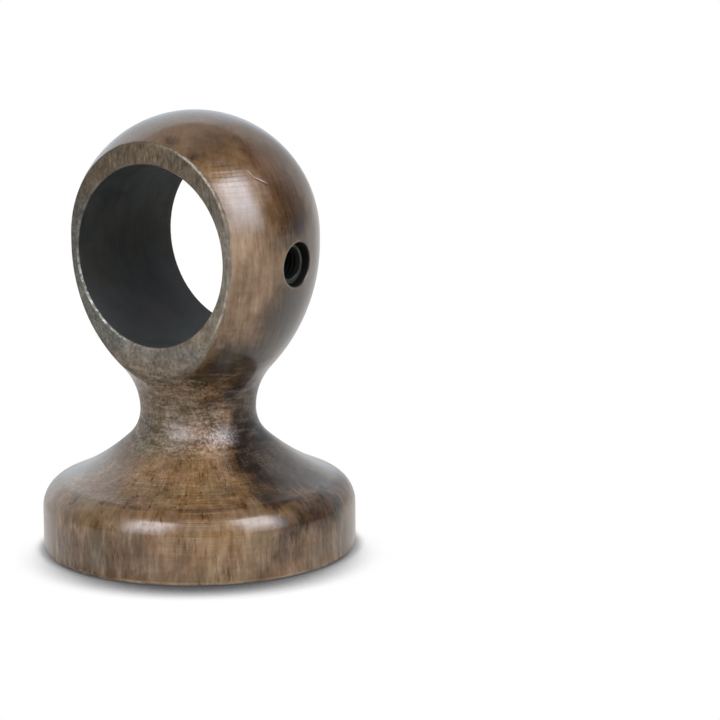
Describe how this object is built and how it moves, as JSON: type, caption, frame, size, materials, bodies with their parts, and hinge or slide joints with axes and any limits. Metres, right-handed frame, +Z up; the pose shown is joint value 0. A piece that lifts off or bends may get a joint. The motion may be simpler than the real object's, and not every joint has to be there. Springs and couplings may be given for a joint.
{
  "type": "curtain pole bracket",
  "caption": "Turned wooden curtain pole bracket: round base, waisted neck and a flat-sided ring head for the pole, with a metal-sleeved screw hole in the side.",
  "frame": {"origin": "centre of the base's underside", "axes": "+Z up the turning axis from the base to the head, +Y along the pole, +X towards the side hole"},
  "size_m": [0.0628, 0.0628, 0.0881],
  "materials": {
    "stained_wood": "dark walnut stain under satin lacquer, inside of the ring painted charcoal",
    "sleeve_metal": "dark grey metal"
  },
  "bodies": {
    "root": {"turned_body": "stained_wood", "side_insert": "sleeve_metal"}
  },
  "joints": []
}
